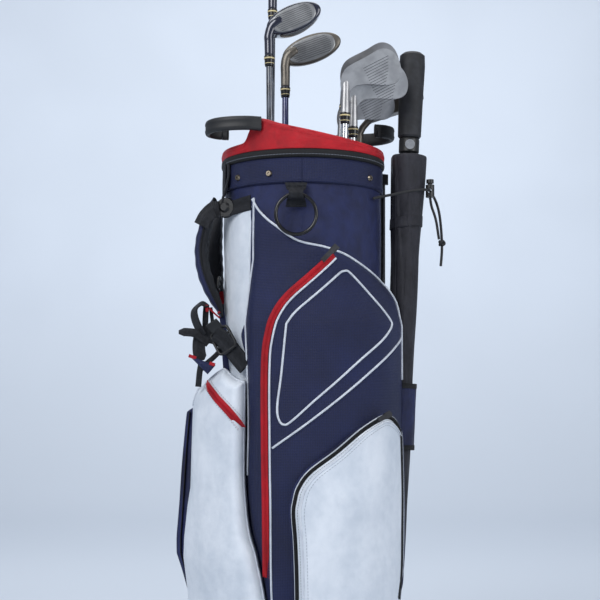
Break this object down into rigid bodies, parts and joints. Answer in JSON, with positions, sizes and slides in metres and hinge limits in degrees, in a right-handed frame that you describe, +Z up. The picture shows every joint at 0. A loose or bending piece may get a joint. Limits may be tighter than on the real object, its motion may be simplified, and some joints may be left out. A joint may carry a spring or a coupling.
{
  "type": "golf club set",
  "caption": "Free-standing golf stand bag with pockets, strap and folding legs, holding lift-out woods, irons, a putter and an umbrella.",
  "frame": {"origin": "on the floor at the centre of the bag's base", "axes": "+Z up along the bag; the big pockets face -Y, the shoulder strap is on -X and the stand legs and umbrella are on +X"},
  "size_m": [0.4075, 0.3278, 1.1544],
  "materials": {
    "black_plastic": "matte",
    "black_trim": "woven",
    "black_webbing": "ribbed",
    "button_silver": "satin",
    "dark_bronze": "satin",
    "dark_grey_plastic": "matte",
    "divider_padding": "brushed",
    "elastic_cord": "braided",
    "graphite_shaft": "gloss",
    "grip_rubber": "fine",
    "iron_chrome": "satin",
    "leg_aluminium": "anodised",
    "navy_fabric": "woven",
    "navy_shaft": "gloss",
    "red_plastic": "padded",
    "ring_plastic": "gloss",
    "rod_steel": "satin",
    "satin_nickel": "satin",
    "screw_metal": "satin",
    "stay_fibreglass": "matte",
    "steel_shaft": "polished",
    "umbrella_cloth": "folded",
    "umbrella_foam": "foam",
    "white_fabric": "coated",
    "wood_head_paint": "gloss",
    "zip_metal": "satin"
  },
  "bodies": {
    "bag": {"base_boot": "black_plastic", "body_shell": "navy_fabric", "collar_band": "navy_fabric", "collar_trim": "black_trim", "top_cuff": "red_plastic", "cuff_screws": "screw_metal", "club_divider": "divider_padding", "frame_stays": "stay_fibreglass", "front_lift_handle": "dark_grey_plastic", "rear_lift_handle": "dark_grey_plastic", "apparel_pocket": "navy_fabric", "ball_pocket": "white_fabric", "side_pocket": "white_fabric", "rear_pocket": "navy_fabric", "umbrella_sleeve": "navy_fabric", "leg_bracket": "black_plastic", "strap_hub": "black_plastic", "shoulder_strap_pads": "navy_fabric", "strap_webbing": "black_webbing", "strap_buckles": "black_plastic", "towel_tab": "black_webbing", "umbrella_cord": "elastic_cord", "cord_lock_barrel": "black_plastic"},
    "base_foot": {"base_foot": "black_plastic"},
    "front_leg": {"front_leg": "leg_aluminium"},
    "back_leg": {"back_leg": "leg_aluminium"},
    "actuator_rod": {"actuator_rod": "rod_steel"},
    "towel_ring": {"towel_ring": "ring_plastic"},
    "umbrella": {"umbrella_shaft": "rod_steel", "umbrella_canopy": "umbrella_cloth", "umbrella_grip": "umbrella_foam", "umbrella_collar": "black_plastic"},
    "umbrella_button": {"umbrella_button": "button_silver"},
    "cord_lock_plunger": {"cord_lock_plunger": "black_plastic"},
    "apparel_zip_slider": {"apparel_zip_slider": "zip_metal"},
    "ball_zip_slider": {"ball_zip_slider": "zip_metal"},
    "driver": {"driver_head": "wood_head_paint", "driver_shaft": "graphite_shaft", "driver_grip": "grip_rubber"},
    "fairway_wood": {"fairway_wood_head": "wood_head_paint", "fairway_wood_shaft": "graphite_shaft", "fairway_wood_grip": "grip_rubber"},
    "hybrid": {"hybrid_head": "satin_nickel", "hybrid_shaft": "navy_shaft", "hybrid_grip": "grip_rubber"},
    "front_iron": {"front_iron_head": "iron_chrome", "front_iron_shaft": "steel_shaft", "front_iron_grip": "grip_rubber"},
    "second_iron": {"second_iron_head": "iron_chrome", "second_iron_shaft": "steel_shaft", "second_iron_grip": "grip_rubber"},
    "third_iron": {"third_iron_head": "iron_chrome", "third_iron_shaft": "steel_shaft", "third_iron_grip": "grip_rubber"},
    "back_iron": {"back_iron_head": "iron_chrome", "back_iron_shaft": "steel_shaft", "back_iron_grip": "grip_rubber"},
    "putter": {"putter_head": "dark_bronze", "putter_shaft": "steel_shaft", "putter_grip": "grip_rubber"}
  },
  "joints": [
    {"name": "base_foot_tilt", "type": "hinge", "parent": "bag", "child": "base_foot", "pos_m": [0.082, 0, 0.0045], "axis": [0, -1, 0], "range_deg": [0, 28]},
    {"name": "front_leg_swing", "type": "hinge", "parent": "bag", "child": "front_leg", "pos_m": [0.12082, 0.05767, 0.79], "axis": [0.4858, -0.8741, 0], "range_deg": [0, 28]},
    {"name": "back_leg_swing", "type": "hinge", "parent": "bag", "child": "back_leg", "pos_m": [0.09408, 0.09088, 0.79], "axis": [0.7476, -0.6642, 0], "range_deg": [0, 28]},
    {"name": "actuator_rod_slide", "type": "slide", "parent": "bag", "child": "actuator_rod", "axis": [0, 0, 1], "range_m": [0, 0.025]},
    {"name": "towel_ring_swing", "type": "hinge", "parent": "bag", "child": "towel_ring", "pos_m": [-0.01, -0.123, 0.7384], "axis": [-1, 0, 0], "range_deg": [0, 60]},
    {"name": "driver_lift", "type": "slide", "parent": "bag", "child": "driver", "axis": [0.0122, 0.028, 0.9995], "range_m": [0, 0.86]},
    {"name": "fairway_wood_lift", "type": "slide", "parent": "bag", "child": "fairway_wood", "axis": [-0.0097, -0.0097, 0.9999], "range_m": [0, 0.86]},
    {"name": "hybrid_lift", "type": "slide", "parent": "bag", "child": "hybrid", "axis": [0.0012, 0.0073, 1], "range_m": [0, 0.86]},
    {"name": "front_iron_lift", "type": "slide", "parent": "bag", "child": "front_iron", "axis": [0.0182, -0.0146, 0.9997], "range_m": [0, 0.86]},
    {"name": "second_iron_lift", "type": "slide", "parent": "bag", "child": "second_iron", "axis": [0.0109, -0.0207, 0.9997], "range_m": [0, 0.86]},
    {"name": "third_iron_lift", "type": "slide", "parent": "bag", "child": "third_iron", "axis": [0.0292, -0.0097, 0.9995], "range_m": [0, 0.86]},
    {"name": "back_iron_lift", "type": "slide", "parent": "bag", "child": "back_iron", "axis": [0.017, -0.0122, 0.9998], "range_m": [0, 0.86]},
    {"name": "putter_lift", "type": "slide", "parent": "bag", "child": "putter", "axis": [0.0243, -0.0073, 0.9997], "range_m": [0, 0.86]},
    {"name": "umbrella_lift", "type": "slide", "parent": "bag", "child": "umbrella", "axis": [0.0379, 0, 0.9993], "range_m": [0, 0.72]},
    {"name": "umbrella_button_press", "type": "slide", "parent": "umbrella", "child": "umbrella_button", "axis": [0, 1, 0], "range_m": [0, 0.002], "stiffness_N_per_m": 150},
    {"name": "cord_lock_press", "type": "slide", "parent": "bag", "child": "cord_lock_plunger", "axis": [0, 0, -1], "range_m": [0, 0.002], "stiffness_N_per_m": 150},
    {"name": "apparel_zip_run", "type": "slide", "parent": "bag", "child": "apparel_zip_slider", "axis": [-0.6697, -0.1913, -0.7175], "range_m": [0, 0.04]},
    {"name": "ball_zip_run", "type": "slide", "parent": "bag", "child": "ball_zip_slider", "axis": [-0.6606, -0.6785, -0.3214], "range_m": [0, 0.035]}
  ],
  "couplings": [
    {"joint": "front_leg_swing", "follows": "base_foot_tilt", "ratio": 1},
    {"joint": "back_leg_swing", "follows": "base_foot_tilt", "ratio": 1},
    {"joint": "actuator_rod_slide", "follows": "base_foot_tilt", "m_per_rad": 0.05}
  ]
}
